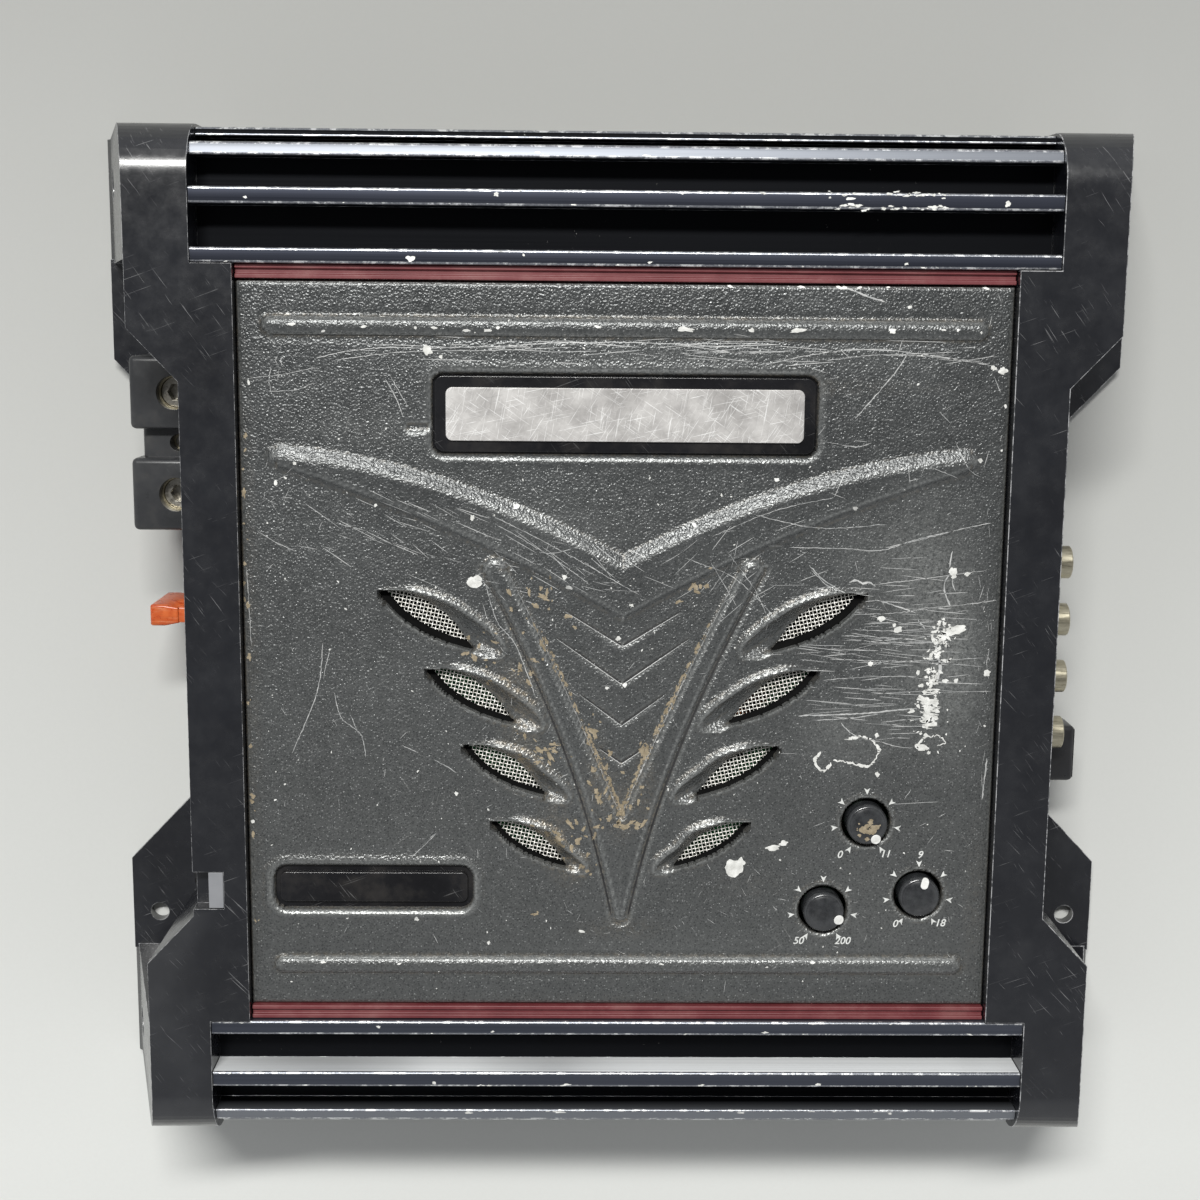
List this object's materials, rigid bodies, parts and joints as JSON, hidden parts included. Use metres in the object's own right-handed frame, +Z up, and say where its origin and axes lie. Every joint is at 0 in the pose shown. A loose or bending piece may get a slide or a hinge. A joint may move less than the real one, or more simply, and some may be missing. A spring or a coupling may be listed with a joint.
{
  "type": "car amplifier",
  "caption": "Car audio amplifier: finned aluminium heatsink between moulded end caps with feet, vented top panel with rotary controls, screw terminals, blade fuse and signal jacks.",
  "frame": {"origin": "centre of the plan at the underside of the feet", "axes": "+X from the power end to the signal end, +Y across the fins towards the badge, +Z up out of the top panel"},
  "size_m": [0.2546, 0.238, 0.057],
  "materials": {
    "anodised_fins": "dark anodised, satin, chipped edges",
    "cap_plastic": "satin moulded",
    "cover_steel": "fine texture paint",
    "panel_paint": "hammered charcoal paint, scratched and chipped",
    "mesh_steel": "woven wire, dusty",
    "trim_red": "satin, dusty",
    "badge_black": "gloss, worn",
    "badge_metal": "satin, scratched",
    "latch_grey": "satin moulded",
    "board_green": "solder resist",
    "standoff_brass": "machined",
    "screw_steel": "zinc plated",
    "screw_black": "black oxide",
    "pot_body": "moulded",
    "shaft_steel": "ground",
    "knob_black": "gloss with dust",
    "terminal_black": "satin gloss, scratched",
    "terminal_brass": "nickel flashed, worn",
    "set_screw_nickel": "dull nickel",
    "fuse_orange": "translucent moulded",
    "blade_metal": "tin plated",
    "jack_black": "satin moulded",
    "barrel_nickel": "dull nickel over brass",
    "insulator_white": "moulded",
    "contact_gold": "gold flashed",
    "ferrite_green": "epoxy coated ferrite",
    "copper_wire": "enamelled copper",
    "capacitor_sleeve": "shrink sleeve",
    "transistor_epoxy": "moulded epoxy",
    "pad_grey": "silicone pad",
    "clamp_steel": "rolled bar"
  },
  "bodies": {
    "chassis": {"heatsink": "anodised_fins", "end_cap_left": "cap_plastic", "end_cap_right": "cap_plastic", "bottom_cover": "cover_steel", "top_panel": "panel_paint", "vent_mesh_left": "mesh_steel", "vent_mesh_right": "mesh_steel", "trim_strip_upper": "trim_red", "trim_strip_lower": "trim_red", "badge_plate": "badge_black", "badge_inlay": "badge_metal", "name_plate": "badge_black", "cap_latch": "latch_grey", "main_board": "board_green", "control_board": "board_green", "standoffs": "standoff_brass", "board_screws": "screw_steel", "gain_pot": "pot_body", "crossover_pot": "pot_body", "boost_pot": "pot_body", "power_terminal_housing": "terminal_black", "ground_terminal_block": "terminal_brass", "positive_terminal_block": "terminal_brass", "remote_terminal_block": "terminal_brass", "fuse_holder": "terminal_black", "fuse_clips": "blade_metal", "speaker_terminal_housing": "terminal_black", "speaker_terminal_blocks": "terminal_brass", "rca_housing": "jack_black", "rca_barrels": "barrel_nickel", "rca_insulators": "insulator_white", "remote_jack": "jack_black", "remote_jack_contacts": "contact_gold", "transformer_core": "ferrite_green", "transformer_winding": "copper_wire", "inductor_core": "ferrite_green", "inductor_winding": "copper_wire", "input_capacitors": "capacitor_sleeve", "output_capacitors": "capacitor_sleeve", "power_transistors": "transistor_epoxy", "insulating_pads": "pad_grey", "clamp_bars": "clamp_steel", "clamp_screws": "screw_steel", "end_cap_screws": "screw_black", "bottom_screws": "screw_black"},
    "gain_control": {"gain_knob": "knob_black", "gain_shaft": "shaft_steel"},
    "crossover_control": {"crossover_knob": "knob_black", "crossover_shaft": "shaft_steel"},
    "boost_control": {"boost_knob": "knob_black", "boost_shaft": "shaft_steel"},
    "fuse": {"fuse_body": "fuse_orange", "fuse_blades": "blade_metal"},
    "ground_screw": {"ground_set_screw": "set_screw_nickel"},
    "positive_screw": {"positive_set_screw": "set_screw_nickel"},
    "remote_screw": {"remote_set_screw": "set_screw_nickel"},
    "speaker_screw_a": {"speaker_screw_1": "set_screw_nickel"},
    "speaker_screw_b": {"speaker_screw_2": "set_screw_nickel"},
    "speaker_screw_c": {"speaker_screw_3": "set_screw_nickel"},
    "speaker_screw_d": {"speaker_screw_4": "set_screw_nickel"}
  },
  "joints": [
    {"name": "gain_turn", "type": "hinge", "parent": "chassis", "child": "gain_control", "pos_m": [0.0577, -0.0396, 0.054], "axis": [0, 0, 1], "range_deg": [0, 300]},
    {"name": "crossover_turn", "type": "hinge", "parent": "chassis", "child": "crossover_control", "pos_m": [0.0481, -0.061, 0.054], "axis": [0, 0, 1], "range_deg": [-34, 266]},
    {"name": "boost_turn", "type": "hinge", "parent": "chassis", "child": "boost_control", "pos_m": [0.0706, -0.0572, 0.054], "axis": [0, 0, 1], "range_deg": [-133, 167]},
    {"name": "fuse_pull", "type": "slide", "parent": "chassis", "child": "fuse", "axis": [-1, 0, 0], "range_m": [0, 0.0125]},
    {"name": "ground_screw_travel", "type": "slide", "parent": "chassis", "child": "ground_screw", "axis": [0, 0, 1], "range_m": [-0.006, 0.003]},
    {"name": "positive_screw_travel", "type": "slide", "parent": "chassis", "child": "positive_screw", "axis": [0, 0, 1], "range_m": [-0.006, 0.003]},
    {"name": "remote_screw_travel", "type": "slide", "parent": "chassis", "child": "remote_screw", "axis": [0, 0, 1], "range_m": [-0.002, 0.0026]},
    {"name": "speaker_screw_a_travel", "type": "slide", "parent": "chassis", "child": "speaker_screw_a", "axis": [0, 0, 1], "range_m": [-0.0035, 0.0025]},
    {"name": "speaker_screw_b_travel", "type": "slide", "parent": "chassis", "child": "speaker_screw_b", "axis": [0, 0, 1], "range_m": [-0.0035, 0.0025]},
    {"name": "speaker_screw_c_travel", "type": "slide", "parent": "chassis", "child": "speaker_screw_c", "axis": [0, 0, 1], "range_m": [-0.0035, 0.0025]},
    {"name": "speaker_screw_d_travel", "type": "slide", "parent": "chassis", "child": "speaker_screw_d", "axis": [0, 0, 1], "range_m": [-0.0035, 0.0025]}
  ]
}
